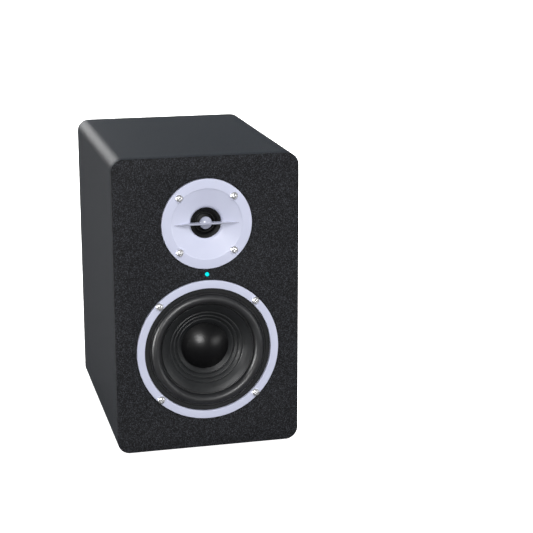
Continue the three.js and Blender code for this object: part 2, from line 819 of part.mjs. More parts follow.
function addPowerSwitch(speaker) {
  const power = groupAt(speaker, SWITCH_AT[0], REAR, SWITCH_AT[1]);
  const rim = 1.5;
  place(power, "power_switch_housing", blackPlastic, cut(
    join(
      block([-SWITCH_HALF_X, -16, -SWITCH_HALF_Z], [SWITCH_HALF_X, 0.5, SWITCH_HALF_Z]),
      block(
        [-SWITCH_HALF_X - 1.5, 0, -SWITCH_HALF_Z - 1.5],
        [SWITCH_HALF_X + 1.5, rim, SWITCH_HALF_Z + 1.5],
      ),
    ),
    block([-5.7, -9, -9], [5.7, rim + 1, 9]),
  ));
  const outline = new THREE.Shape([
    [4.6, -7.6],
    [3.4, 0],
    [4.6, 7.6],
    [1, 7.6],
    [-3, 3],
    [-3, -3],
    [1, -7.6],
  ].map(([depth, z]) => new THREE.Vector2(depth, z)).reverse());
  const rocker = new THREE.ExtrudeGeometry(outline, { depth: 10.8, bevelEnabled: false });
  rocker.applyMatrix4(new THREE.Matrix4().set(0, 0, 1, -5.4, 1, 0, 0, 0, 0, 1, 0, 0, 0, 0, 0, 1));
  const mesh = place(power, "power_switch_rocker", blackPlastic, rocker);
  mesh.position.y = ROCKER_PIVOT - REAR;
  mesh.rotation.x = THREE.MathUtils.degToRad(ROCKER_TILT);
}

const INLET_HALF_X = 14;
const INLET_HALF_Z = 10.5;

// A three-pin mains inlet: a flanged shell with a deep mouth and three flat pins on its floor.
function addPowerInlet(speaker) {
  const inlet = groupAt(speaker, INLET_AT[0], REAR, INLET_AT[1]);
  const rim = 2;
  const floor = -14;
  const pinEnd = -2;
  const pins = [[-7, -3], [7, -3], [0, 3]];
  const shell = cut(
    join(
      block([-INLET_HALF_X, -18, -INLET_HALF_Z], [INLET_HALF_X, 0.5, INLET_HALF_Z]),
      block([-INLET_HALF_X - 3, 0, -INLET_HALF_Z - 2.5], [INLET_HALF_X + 3, rim, INLET_HALF_Z + 2.5]),
    ),
    block([-12, floor, -8.3], [12, rim + 1, 8.3]),
  );
  const blades = pins.map(([x, z]) => block([x - 1, floor - 1, z - 2], [x + 1, pinEnd, z + 2]));
  place(inlet, "power_inlet", blackPlastic, join(shell, ...blades));
}

// The amplifier's circuit board stands behind the plate's parts, with capacitors and power chips.
function addBoards(speaker) {
  const boardY = 166;
  const boardT = 1.6;
  const capacitor = (x, z, radius, height) => (
    bar(radius, boardY - height, boardY + 0.5, 12).translate(x, 0, z)
  );
  place(speaker, "amp_board", circuitBoard, join(
    block([-46, boardY, 62], [46, boardY + boardT, 150]),
    capacitor(-28, 88, 9, 28),
    capacitor(-6, 88, 9, 28),
    block([12, boardY - 8, 76], [38, boardY + 0.5, 96]),
    block([-36, boardY - 5, 120], [-8, boardY + 0.5, 138]),
    block([8, boardY - 11, 116], [30, boardY + 0.5, 134]),
  ));

  const floor = WALL + GAP;
  const core = block([-30, 122, floor + 3], [30, 152, floor + 43]);
  place(speaker, "transformer", steel, join(
    core,
    block([-15, 112, floor + 8], [15, 162, floor + 38]),
    block([-38, 124, floor], [38, 150, floor + 4]),
  ));

  const filterZ = floor + 5;
  place(speaker, "crossover_board", circuitBoard, join(
    block([-30, 62, filterZ], [30, 102, filterZ + boardT]),
    new THREE.CylinderGeometry(12, 12, 14, 16).rotateX(Math.PI / 2).translate(-14, 82, filterZ + 8),
    block([6, 70, filterZ + 1], [24, 80, filterZ + 11]),
    block([6, 86, filterZ + 1], [24, 96, filterZ + 11]),
    block([-27, 64, floor], [-23, 68, filterZ + 0.5]),
    block([23, 64, floor], [27, 68, filterZ + 0.5]),
    block([-27, 96, floor], [-23, 100, filterZ + 0.5]),
    block([23, 96, floor], [27, 100, filterZ + 0.5]),
  ));
}

// ---- Assembly ----

const part = new THREE.Group();
const speaker = groupAt(part, 0, -MID_DEPTH, FOOT_HEIGHT);
addCabinet(speaker);
addTweeter(speaker);
addWoofer(speaker);
addPlate(speaker);
addVolumeControl(speaker);
addJacks(speaker);
addTerminals(speaker);
addPowerSwitch(speaker);
addPowerInlet(speaker);
addBoards(speaker);

export default part;
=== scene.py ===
"""Looks of a small two-way powered bookshelf speaker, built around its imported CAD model.

Every outline is in millimetres. Depths are measured backwards (+Y) from the cabinet's front face on
the front, and from the amplifier plate's outer face on the back.
"""
import math

import bmesh
import bpy
from mathutils import Matrix, Vector
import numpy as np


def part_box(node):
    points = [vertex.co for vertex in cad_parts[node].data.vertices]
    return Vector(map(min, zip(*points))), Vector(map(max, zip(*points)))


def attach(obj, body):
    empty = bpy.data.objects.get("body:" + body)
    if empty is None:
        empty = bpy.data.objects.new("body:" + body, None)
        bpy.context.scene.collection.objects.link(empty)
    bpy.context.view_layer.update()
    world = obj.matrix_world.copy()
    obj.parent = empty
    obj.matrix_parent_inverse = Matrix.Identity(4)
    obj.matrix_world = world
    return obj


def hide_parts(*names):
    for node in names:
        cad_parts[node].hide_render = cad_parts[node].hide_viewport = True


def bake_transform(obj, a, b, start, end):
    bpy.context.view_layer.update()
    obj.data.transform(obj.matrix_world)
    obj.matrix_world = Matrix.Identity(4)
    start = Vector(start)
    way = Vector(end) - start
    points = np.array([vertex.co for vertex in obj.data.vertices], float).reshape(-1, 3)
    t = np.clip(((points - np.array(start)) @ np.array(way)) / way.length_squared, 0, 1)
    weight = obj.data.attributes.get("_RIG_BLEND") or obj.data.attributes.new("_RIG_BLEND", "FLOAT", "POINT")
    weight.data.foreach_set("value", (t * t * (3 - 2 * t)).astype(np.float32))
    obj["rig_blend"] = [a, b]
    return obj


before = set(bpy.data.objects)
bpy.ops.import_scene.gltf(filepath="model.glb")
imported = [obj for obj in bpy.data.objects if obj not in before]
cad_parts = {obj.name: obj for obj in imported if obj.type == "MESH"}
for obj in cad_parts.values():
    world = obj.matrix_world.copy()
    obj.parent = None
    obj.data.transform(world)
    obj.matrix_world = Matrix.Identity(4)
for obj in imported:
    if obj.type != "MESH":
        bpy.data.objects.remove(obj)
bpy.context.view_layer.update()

MM = 0.001


# ---- Places taken from the frame ----

def middle(node):
    low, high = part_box(node)
    return (Vector(low) + Vector(high)) / 2


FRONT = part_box("front_face_skin")[0][1]
SHELL_LOW, SHELL_HIGH = (Vector(corner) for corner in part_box("cabinet_shell"))
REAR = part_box("amp_plate")[1][1]
TWEETER = middle("tweeter_faceplate")
WOOFER = middle("woofer_trim_ring")
LAMP = middle("led_lens")
PORT = middle("port_tube")
KNOB = middle("volume_knob")


# ---- Sizes that more than one piece needs ----

PLATE_R = 36.4
RING_R = 58.0
LAMP_R = 1.5


# ---- Camera ----

FOCAL_PIXELS = 1483.4
FRAME_PIXELS = 533
SENSOR = 36.0
CAMERA_YAW = math.radians(14.154)
CAMERA_PITCH = math.radians(14.748)
CAMERA_FROM_FACE = Vector((-232.9, -1115.7, 452.0)) * MM    # from the face's lower middle


def add_camera():
    data = bpy.data.cameras.new("camera")
    data.sensor_width = SENSOR
    data.lens = FOCAL_PIXELS * SENSOR / FRAME_PIXELS
    data.clip_start = 0.01
    data.clip_end = 50.0
    camera = bpy.data.objects.new("camera", data)
    camera.location = Vector((0, FRONT, SHELL_LOW.z)) + CAMERA_FROM_FACE
    camera.rotation_euler = (math.pi / 2 - CAMERA_PITCH, 0, -CAMERA_YAW)
    bpy.context.scene.collection.objects.link(camera)
    bpy.context.scene.camera = camera


add_camera()


# ---- Materials ----

NOISE_LOW = 0.3
NOISE_HIGH = 0.7


class Look:
    """A procedural material: its nodes are added by short calls."""

    def __init__(self, name, roughness, metallic=0.0, specular=0.5):
        self.material = bpy.data.materials.new(name)
        self.material.use_nodes = True
        self.nodes = self.material.node_tree.nodes
        self.links = self.material.node_tree.links
        self.shader = self.nodes["Principled BSDF"]
        self.shader.inputs["Roughness"].default_value = roughness
        self.shader.inputs["Metallic"].default_value = metallic
        self.shader.inputs["Specular IOR Level"].default_value = specular
        self.place = self.nodes.new("ShaderNodeTexCoord").outputs["Object"]

    def stretched(self, scale):
        """Coordinates that are scaled by different amounts along X, Y and Z."""
        mapping = self.nodes.new("ShaderNodeMapping")
        mapping.inputs["Scale"].default_value = scale
        self.links.new(self.place, mapping.inputs["Vector"])
        return mapping.outputs["Vector"]

    def noise(self, per_metre, detail=3.0, rough=0.5, place=None):
        texture = self.nodes.new("ShaderNodeTexNoise")
        texture.inputs["Scale"].default_value = per_metre
        texture.inputs["Detail"].default_value = detail
        texture.inputs["Roughness"].default_value = rough
        self.links.new(place or self.place, texture.inputs["Vector"])
        return texture.outputs["Fac"]

    def cells(self, per_metre, feature="F1"):
        texture = self.nodes.new("ShaderNodeTexVoronoi")
        texture.feature = feature
        texture.inputs["Scale"].default_value = per_metre
        self.links.new(self.place, texture.inputs["Vector"])
        return texture.outputs["Distance"]

    def colours(self, value, *stops):
        """Base colour by a value from 0 to 1; each stop is (value, (r, g, b))."""
        ramp = self.nodes.new("ShaderNodeValToRGB")
        elements = ramp.color_ramp.elements
        while len(elements) < len(stops):
            elements.new(0.5)
        for element, (position, colour) in zip(elements, stops):
            element.position = position
            element.color = (*colour, 1.0)
        self.links.new(value, ramp.inputs["Fac"])
        self.links.new(ramp.outputs["Color"], self.shader.inputs["Base Color"])

    def mottle(self, value, dark, light):
        """Base colour that varies between two colours over the usual range of a noise."""
        self.colours(value, (NOISE_LOW, dark), (NOISE_HIGH, light))

    def spread(self, value, low, high, socket="Roughness"):
        """A shader number that varies between low and high over the usual range of a noise."""
        span = self.nodes.new("ShaderNodeMapRange")
        span.inputs["From Min"].default_value = NOISE_LOW
        span.inputs["From Max"].default_value = NOISE_HIGH
        span.inputs["To Min"].default_value = low
        span.inputs["To Max"].default_value = high
        self.links.new(value, span.inputs["Value"])
        self.links.new(span.outputs["Result"], self.shader.inputs[socket])

    def bump(self, *layers):
        """Relief from (height value, millimetres) layers, laid one on another."""
        normal = None
        for value, height in layers:
            relief = self.nodes.new("ShaderNodeBump")
            relief.inputs["Strength"].default_value = 1.0
            relief.inputs["Distance"].default_value = height * MM
            self.links.new(value, relief.inputs["Height"])
            if normal is not None:
                self.links.new(normal, relief.inputs["Normal"])
            normal = relief.outputs["Normal"]
        self.links.new(normal, self.shader.inputs["Normal"])


def shade(colour, factor):
    return tuple(channel * factor for channel in colour)


def plain_look(name, colour, roughness, metallic=0.0, grain=1500, relief=0.02, contrast=0.12):
    """A moulded, cast or painted finish: faint mottling, uneven gloss and a fine grain."""
    look = Look(name, roughness, metallic)
    patches = look.noise(60)
    fine = look.noise(grain, 2.0)
    unevenness = 0.06
    look.mottle(patches, shade(colour, 1 - contrast), shade(colour, 1 + contrast))
    look.spread(fine, roughness - unevenness, roughness + unevenness)
    look.bump((fine, relief))
    return look.material


def vinyl_look():
    """Embossed vinyl wrap: shallow leather cells and a pebbled grain."""
    look = Look("vinyl_wrap", 0.5, specular=0.5)
    cells = look.cells(1100, "SMOOTH_F1")
    grain = look.noise(1000, 3.0, 0.7)
    colour = (0.0205, 0.025, 0.0315)
    look.mottle(grain, shade(colour, 0.5), shade(colour, 1.5))
    look.spread(grain, 0.44, 0.54)
    look.spread(grain, 0.05, 0.95, "Specular IOR Level")
    look.bump((cells, 0.08), (grain, 0.10))
    return look.material


def face_look():
    """Speckled texture paint on the front face."""
    look = Look("face_texture", 0.62, specular=0.22)
    speckle = look.noise(1150, 3.0, 0.8)
    pebbles = look.cells(1500)
    look.colours(
        speckle,
        (0.38, (0.0006, 0.0006, 0.0008)),
        (0.50, (0.0052, 0.0055, 0.0068)),
        (0.62, (0.044, 0.0465, 0.0545)),
    )
    look.spread(speckle, 0.55, 0.75)
    look.bump((speckle, 0.16), (pebbles, 0.06))
    return look.material


def silver_look(name, tone, low, high, specular):
    """Lavender-silver paint with a fine flake; tone darkens its colour."""
    look = Look(name, high, specular=specular)
    flake = look.noise(2600, 2.0, 0.6)
    patches = look.noise(80)
    look.mottle(patches, shade((0.580, 0.602, 0.750), tone), shade((0.602, 0.625, 0.770), tone))
    look.spread(flake, low, high)
    look.bump((flake, 0.012))
    return look.material


def rubber_look(name, colour, low, high, relief=0.03, specular=0.5):
    """Soft moulded rubber with a slight bloom."""
    look = Look(name, high, specular=specular)
    bloom = look.noise(90)
    fine = look.noise(1800, 3.0)
    look.mottle(bloom, shade(colour, 0.8), shade(colour, 1.25))
    look.spread(bloom, low, high)
    look.bump((fine, relief))
    return look.material


def cone_look(name, colour, low, high, relief=0.03, specular=0.5):
    """Coated cone stock: faint flow marks and a fine grain."""
    look = Look(name, high, specular=specular)
    marks = look.noise(160, 4.0, 0.6)
    fine = look.noise(1400, 2.0)
    look.mottle(marks, shade(colour, 0.85), shade(colour, 1.15))
    look.spread(marks, low, high)
    look.bump((fine, relief))
    return look.material


def brushed_look(name, colour, roughness, along):
    """Bare metal with fine lines; along gives the stretch of the lines in X, Y and Z."""
    look = Look(name, roughness, metallic=1.0)
    lines = look.noise(900, 2.0, 0.6, look.stretched(along))
    unevenness = 0.08
    look.mottle(lines, shade(colour, 0.85), shade(colour, 1.1))
    look.spread(lines, roughness - unevenness, roughness + unevenness)
    look.bump((lines, 0.01))
    return look.material


def wood_board_look():
    """Pressed fibre board, as it shows inside and at cut edges."""
    look = Look("fibre_board", 0.85, specular=0.2)
    fibres = look.noise(700, 4.0, 0.7)
    look.mottle(fibres, (0.16, 0.11, 0.065), (0.27, 0.19, 0.115))
    look.bump((fibres, 0.08))
    return look.material


def cloth_look(name, colour, threads_per_metre, relief):
    """Woven cloth: two crossed sets of threads."""
    look = Look(name, 0.85, specular=0.2)
    weave = []
    for direction in ("X", "Z"):
        wave = look.nodes.new("ShaderNodeTexWave")
        wave.bands_direction = direction
        wave.inputs["Scale"].default_value = threads_per_metre / 3
        wave.inputs["Distortion"].default_value = 0.4
        look.links.new(look.place, wave.inputs["Vector"])
        weave.append(wave.outputs["Fac"])
    wear = look.noise(120)
    look.mottle(wear, shade(colour, 0.8), shade(colour, 1.2))
    look.bump((weave[0], relief), (weave[1], relief))
    return look.material


def lamp_look():
    """Lit cyan lens whose glow varies slightly from place to place."""
    look = Look("lamp_lens", 0.25, specular=0.1)
    glow = look.noise(220, 1.0)
    look.mottle(glow, (0.0, 0.020, 0.019), (0.0, 0.032, 0.030))
    look.shader.inputs["Emission Color"].default_value = (0.0, 0.92, 0.93, 1.0)
    look.spread(glow, 0.96, 1.02, "Emission Strength")
    return look.material


VINYL = vinyl_look()
FACE = face_look()
SILVER = silver_look("silver_paint", 0.965, 0.33, 0.42, specular=0.4)
GLOSSY_SILVER = silver_look("glossy_silver_paint", 0.63, 0.19, 0.22, specular=1.0)
CHROME = plain_look(
    "chrome_plate", (0.95, 0.95, 0.96), 0.30, 0.86,
    grain=600, relief=0.004, contrast=0.03,
)
GASKET = rubber_look("gasket_foam", (0.011, 0.0115, 0.0125), 0.6, 0.75, relief=0.01, specular=0.34)
ROLL = rubber_look("roll_rubber", (0.016, 0.0165, 0.018), 0.38, 0.43, relief=0.005, specular=0.8)
CONE = cone_look("cone_stock", (0.0115, 0.0125, 0.0135), 0.36, 0.46, relief=0.02, specular=0.55)
CAP = cone_look("cap_stock", (0.0018, 0.0018, 0.0022), 0.32, 0.34, relief=0.005, specular=0.46)
SILK = rubber_look("coated_silk", (0.004, 0.004, 0.004), 0.45, 0.6, relief=0.01, specular=0.25)
BLACK_PLASTIC = plain_look("black_plastic", (0.010, 0.010, 0.011), 0.42, contrast=0.2)
THROAT_PLASTIC = rubber_look(
    "throat_plastic", (0.004, 0.004, 0.004), 0.5, 0.6,
    relief=0.01, specular=0.25,
)
FOOT_RUBBER = rubber_look("foot_rubber", (0.018, 0.018, 0.018), 0.75, 0.9)
BOARD = wood_board_look()
BACK_PAINT = plain_look(
    "back_paint", (0.016, 0.017, 0.018), 0.7,
    grain=900, relief=0.08, contrast=0.25,
)
PLATE_PAINT = plain_look("plate_powder_coat", (0.013, 0.013, 0.014), 0.55, grain=1400, relief=0.07)
STEEL = brushed_look("zinc_steel", (0.45, 0.46, 0.48), 0.38, (1, 1, 6))
ALUMINIUM = brushed_look("extruded_aluminium", (0.55, 0.56, 0.58), 0.36, (4, 4, 0.3))
NICKEL = plain_look("nickel", (0.66, 0.63, 0.58), 0.22, 1.0, relief=0.005, contrast=0.05)
FERRITE = plain_look("ferrite", (0.05, 0.05, 0.052), 0.75, grain=900, relief=0.1)
COPPER = brushed_look("copper_wire", (0.62, 0.27, 0.12), 0.32, (1, 8, 1))
SPIDER_CLOTH = cloth_look("spider_cloth", (0.50, 0.37, 0.15), 1800, 0.08)
WADDING = plain_look("polyester_wadding", (0.62, 0.60, 0.55), 0.95, grain=500, relief=1.2)
CIRCUIT = plain_look(
    "circuit_board", (0.015, 0.11, 0.05), 0.45,
    grain=700, relief=0.05, contrast=0.3,
)
RED_PLASTIC = plain_look("red_plastic", (0.45, 0.012, 0.010), 0.32)
WHITE_PLASTIC = plain_look("white_plastic", (0.72, 0.72, 0.70), 0.38)
# Near-black paint inside the screws' cross recesses: painted shade where the recess is deep.
PAINTED_RECESS_SHADE = plain_look("screw_recess_painted_shade", (0.012, 0.012, 0.012), 0.5, relief=0.01)
BLACK_SCREW = plain_look("black_zinc", (0.05, 0.05, 0.052), 0.35, 0.8, relief=0.01)
MARKING = plain_look("panel_marking", (0.62, 0.62, 0.62), 0.6, relief=0.005)
LENS = lamp_look()


# ---- Mesh helpers ----

ROUND_STEPS = 144
CORNER_STEPS = 5
CORNER_SHARE = 0.48
SHARP_ANGLE = math.radians(35)
PRESSED_ANGLE = math.radians(60)
MERGE_DISTANCE = 1e-7
BOX_FACES = [(0, 1, 2, 3), (7, 6, 5, 4), (0, 4, 5, 1), (1, 5, 6, 2), (2, 6, 7, 3), (3, 7, 4, 0)]


def soften(outline, closed):
    """Rounds the corners of an outline whose points give a radius: (a, b), or (a, b, radius)."""
    points = []
    count = len(outline)
    for index, point in enumerate(outline):
        here = Vector(point[:2])
        at_end = not closed and index in (0, count - 1)
        if len(point) == 2 or at_end:
            points.append(here)
            continue
        before = Vector(outline[index - 1][:2]) - here
        after = Vector(outline[(index + 1) % count][:2]) - here
        wanted = point[2] / math.tan(before.angle(after) / 2)
        reach = min(wanted, CORNER_SHARE * before.length, CORNER_SHARE * after.length)
        start = here + before.normalized() * reach
        end = here + after.normalized() * reach
        for step in range(CORNER_STEPS + 1):
            t = step / CORNER_STEPS
            points.append(start * (1 - t) ** 2 + here * (2 * t * (1 - t)) + end * t ** 2)
    return points


def arch(centre, depth, across, rise, steps):
    """Points of an outline that bulges to the front, from its outer side to its inner side."""
    angles = [math.pi * step / steps for step in range(steps + 1)]
    return [(centre + across * math.cos(a), depth - rise * math.sin(a)) for a in angles]


def close_up(mesh, sharp):
    """Joins doubled vertices, points the faces out, and shades smooth except at sharp edges."""
    work = bmesh.new()
    work.from_mesh(mesh)
    bmesh.ops.remove_doubles(work, verts=work.verts, dist=MERGE_DISTANCE)
    bmesh.ops.recalc_face_normals(work, faces=work.faces)
    work.to_mesh(mesh)
    work.free()
    mesh.shade_smooth()
    mesh.set_sharp_from_angle(angle=sharp)
    return mesh


def mesh_from(name, vertices, faces, sharp=SHARP_ANGLE):
    """A closed mesh with its vertices in metres."""
    mesh = bpy.data.meshes.new(name)
    mesh.from_pydata([tuple(vertex) for vertex in vertices], [], faces)
    return close_up(mesh, sharp)


def bridge(rows, count, closed):
    """Faces between rows of count vertices each. In a closed skin the last row meets the first."""
    faces = []
    for row in range(rows if closed else rows - 1):
        here = row * count
        there = (row + 1) % rows * count
        for step in range(count):
            after = (step + 1) % count
            faces.append((here + step, here + after, there + after, there + step))
    return faces


def to_metres(x, y, z):
    return Vector((x, y, z)) * MM


def spun(name, outline, origin, along="Y", steps=ROUND_STEPS, sharp=SHARP_ANGLE):
    """An outline of (radius, depth) points, turned about an axis through the origin."""
    on_axis = outline[0][0] == 0 and outline[-1][0] == 0
    profile = soften(outline, closed=not on_axis)
    vertices = []
    for radius, depth in profile:
        for step in range(steps):
            angle = 2 * math.pi * step / steps
            across = radius * math.sin(angle)
            up = radius * math.cos(angle)
            local = to_metres(across, depth, up) if along == "Y" else to_metres(across, up, depth)
            vertices.append(origin + local)
    return mesh_from(name, vertices, bridge(len(profile), steps, closed=not on_axis), sharp)


def joined(name, *meshes):
    """One mesh made of several."""
    work = bmesh.new()
    for mesh in meshes:
        work.from_mesh(mesh)
    result = bpy.data.meshes.new(name)
    work.to_mesh(result)
    work.free()
    for mesh in meshes:
        bpy.data.meshes.remove(mesh)
    return result


def cut(mesh, cutter):
    """The mesh with the cutter taken away, as a new mesh."""
    target = bpy.data.objects.new("target", mesh)
    tool = bpy.data.objects.new("tool", cutter)
    for thing in (target, tool):
        bpy.context.scene.collection.objects.link(thing)
    modifier = target.modifiers.new("cut", "BOOLEAN")
    modifier.operation = "DIFFERENCE"
    modifier.solver = "EXACT"
    modifier.object = tool
    graph = bpy.context.evaluated_depsgraph_get()
    result = bpy.data.meshes.new_from_object(target.evaluated_get(graph))
    bpy.data.objects.remove(target)
    bpy.data.objects.remove(tool)
    bpy.data.meshes.remove(mesh)
    bpy.data.meshes.remove(cutter)
    return result


def box_mesh(name, low, high, origin):
    """A small box with its corners in millimetres from the origin."""
    corners = [
        origin + to_metres(x, y, z)
        for y in (low[1], high[1])
        for x, z in ((low[0], low[2]), (high[0], low[2]), (high[0], high[2]), (low[0], high[2]))
    ]
    return mesh_from(name, corners, BOX_FACES)


def rounded_loop(width, height, radius, centre, steps):
    """Points of a rectangle with round corners, in x and z."""
    points = []
    for corner in range(4):
        side_x = 1 if corner in (0, 3) else -1
        side_z = 1 if corner in (0, 1) else -1
        for step in range(steps + 1):
            angle = math.pi / 2 * (corner + step / steps)
            x = side_x * (width / 2 - radius) + radius * math.cos(angle)
            z = side_z * (height / 2 - radius) + radius * math.sin(angle)
            points.append((centre[0] + x, centre[1] + z))
    return points


def circle_loop(radius, centre, steps=ROUND_STEPS):
    angles = [2 * math.pi * step / steps for step in range(steps)]
    return [(centre[0] + radius * math.cos(a), centre[1] + radius * math.sin(a)) for a in angles]


def sheet_with_holes(name, loops, front, back, edge):
    """A flat plate in x and z between two depths, in metres, with its edges rounded.

    The first loop is the outside and the others are holes."""
    curve = bpy.data.curves.new(name, "CURVE")
    curve.dimensions = "2D"
    curve.fill_mode = "BOTH"
    curve.extrude = (back - front) / 2 - edge
    curve.bevel_depth = edge
    curve.bevel_resolution = 3
    curve.offset = -edge
    for loop in loops:
        spline = curve.splines.new("POLY")
        spline.points.add(len(loop) - 1)
        for point, (x, z) in zip(spline.points, loop):
            point.co = (x, z, 0, 1)
        spline.use_cyclic_u = True
    flat = bpy.data.objects.new(name, curve)
    bpy.context.scene.collection.objects.link(flat)
    graph = bpy.context.evaluated_depsgraph_get()
    mesh = bpy.data.meshes.new_from_object(flat.evaluated_get(graph))
    bpy.data.objects.remove(flat)
    bpy.data.curves.remove(curve)
    mesh.name = name
    stand_up = Matrix(((1, 0, 0, 0), (0, 0, -1, (front + back) / 2), (0, 1, 0, 0), (0, 0, 0, 1)))
    mesh.transform(stand_up)
    return close_up(mesh, SHARP_ANGLE)


# ---- Putting pieces in the scene ----

def add_object(name, mesh, material):
    thing = bpy.data.objects.new(name, mesh)
    bpy.context.scene.collection.objects.link(thing)
    mesh.materials.clear()
    mesh.materials.append(material)
    return thing


def add_piece(name, mesh, body, material, nodes):
    """A piece on a CAD body, in place of CAD nodes."""
    piece = add_object(name, mesh, material)
    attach(piece, body)
    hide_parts(*nodes)
    return piece


def add_detail(name, mesh, body, material):
    """A small piece on a CAD body that the CAD leaves out."""
    detail = add_object(name, mesh, material)
    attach(detail, body)


def add_blended(name, mesh, material, node, moving, origin, outer, inner):
    """A ring whose outer rim stays with the cabinet and whose inner rim follows the moving body."""
    piece = add_object(name, mesh, material)
    rim = origin + to_metres(outer, 0, 0)
    lip = origin + to_metres(inner, 0, 0)
    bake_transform(piece, "cabinet", moving, start=tuple(rim), end=tuple(lip))
    weights = mesh.attributes["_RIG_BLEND"].data
    for vertex, weight in zip(mesh.vertices, weights):
        away = vertex.co - origin
        radius = math.hypot(away.x, away.z) / MM
        share = min(max((outer - radius) / (outer - inner), 0), 1)
        weight.value = share * share * (3 - 2 * share)
    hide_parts(node)


# ---- Cabinet ----

EDGE_RADIUS = 10
EDGE_STEPS = 16
WALL = 12
HOLLOW_RADIUS = 3
BOX_WIDTH = (SHELL_HIGH.x - SHELL_LOW.x) / MM
BOX_HEIGHT = (SHELL_HIGH.z - SHELL_LOW.z) / MM
BOX_CENTRE = (0, (SHELL_HIGH.z + SHELL_LOW.z) / 2 / MM)


def wrap_ring(depth, inset, hollow=False):
    """The cabinet's outline at a depth in metres: its outside, drawn in by inset, or its hollow."""
    shrink = 2 * (WALL if hollow else inset)
    radius = HOLLOW_RADIUS if hollow else EDGE_RADIUS - inset
    width = BOX_WIDTH - shrink
    height = BOX_HEIGHT - shrink
    loop = rounded_loop(width, height, radius, BOX_CENTRE, EDGE_STEPS)
    return [Vector((x * MM, depth, z * MM)) for x, z in loop]


def add_wrap():
    """The vinyl-wrapped shell, open at the front and the back."""
    front = SHELL_LOW.y
    back = SHELL_HIGH.y
    spans = 24
    rear_edge = 0.8
    rear_steps = 4
    rings = [
        wrap_ring(front, 0.5),
        wrap_ring(front + 0.15 * MM, 0.15),
        wrap_ring(front + 0.5 * MM, 0),
    ]
    for span in range(1, spans):
        rings.append(wrap_ring(front + (back - front) * span / spans, 0))
    for step in range(rear_steps + 1):
        angle = math.pi / 2 * step / rear_steps
        depth = back - rear_edge * MM * (1 - math.sin(angle))
        rings.append(wrap_ring(depth, rear_edge * (1 - math.cos(angle))))
    rings.append(wrap_ring(back, 0, hollow=True))
    rings.append(wrap_ring(front, 0, hollow=True))
    vertices = [vertex for ring in rings for vertex in ring]
    wrap = mesh_from("cabinet_wrap", vertices, bridge(len(rings), len(rings[0]), closed=True))
    add_piece("cabinet_wrap", wrap, "cabinet", VINYL, ["cabinet_shell"])


def add_face():
    """The textured front panel, with holes for the drivers and the lamp."""
    hole_gap = 0.45
    edge = 0.35
    loops = [
        rounded_loop(BOX_WIDTH, BOX_HEIGHT, EDGE_RADIUS, BOX_CENTRE, EDGE_STEPS),
        circle_loop(PLATE_R + hole_gap, (0, TWEETER.z / MM)),
        circle_loop(RING_R + hole_gap, (0, WOOFER.z / MM)),
        circle_loop(LAMP_R + hole_gap, (0, LAMP.z / MM), steps=48),
    ]
    loops = [[(x * MM, z * MM) for x, z in loop] for loop in loops]
    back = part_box("front_face_skin")[1][1]
    face = sheet_with_holes("face_panel", loops, FRONT, back, edge * MM)
    add_piece("face_panel", face, "cabinet", FACE, ["front_face_skin"])


def add_feet():
    for node in ("foot_front_left", "foot_front_right", "foot_rear_left", "foot_rear_right"):
        low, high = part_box(node)
        radius = (high[0] - low[0]) / 2 / MM
        tall = (high[2] - low[2]) / MM
        origin = Vector((middle(node).x, middle(node).y, low[2]))
        pad = spun(f"{node}_pad", [
            (0, 0.25),
            (radius - 3.4, 0.25, 0.3),
            (radius - 2.9, 0, 0.3),
            (radius - 1.2, 0, 0.6),
            (radius, tall * 0.6, 0.5),
            (radius, tall),
            (0, tall),
        ], origin, along="Z", steps=64)
        add_piece(f"{node}_pad", pad, "cabinet", FOOT_RUBBER, [node])


def add_port():
    low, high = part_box("port_tube")
    length = (high[1] - low[1]) / MM
    bore = 16.5
    wall = 2
    flare_out = 6
    flare_in = 16
    flare_steps = 10
    flare = []
    for step in range(flare_steps):
        angle = math.pi / 2 * step / flare_steps
        radius = bore + flare_out * (1 - math.cos(angle))
        flare.append((radius, -flare_in + flare_in * math.sin(angle)))
    port = spun("port_trim", [
        (bore, -length, 0.6),
        *flare,
        (bore + 6.6, 0, 0.8),
        (bore + 9, -0.2, 0.8),
        (bore + 9, -1.5),
        (bore + wall, -1.5),
        (bore + wall, -length, 0.6),
    ], Vector((PORT.x, high[1], PORT.z)))
    add_piece("port_trim", port, "cabinet", BLACK_PLASTIC, ["port_tube"])


# ---- Screws ----

HEAD_R = 3.1
HEAD_HEIGHT = 1.9
CORE_R = 1.15
THREAD_R = 1.38
THREAD_PITCH = 1.2
CROSS_REACH = 2.05
CROSS_HALF_WIDTH = 0.5
CROSS_DEPTH = 1.5
RECESS_R = 2.1


def cross_cutter():
    """Two crossed bars, from a little above the screw's head, that leave the driver recess.

    They taper downwards, more in length than in width."""
    above = -HEAD_HEIGHT - 0.6
    below = -HEAD_HEIGHT + CROSS_DEPTH
    arms = []
    for turn in (0, math.pi / 2):
        corners = []
        for level, shrink in ((above, 1.0), (below, 0.55)):
            x = CROSS_REACH * shrink
            z = CROSS_HALF_WIDTH * (0.8 + 0.2 * shrink)
            for side, edge in ((-x, -z), (x, -z), (x, z), (-x, z)):
                corners.append(to_metres(side, level, edge))
        arm = mesh_from("arm", corners, BOX_FACES)
        arm.transform(Matrix.Rotation(turn, 4, "Y"))
        arms.append(arm)
    return arms


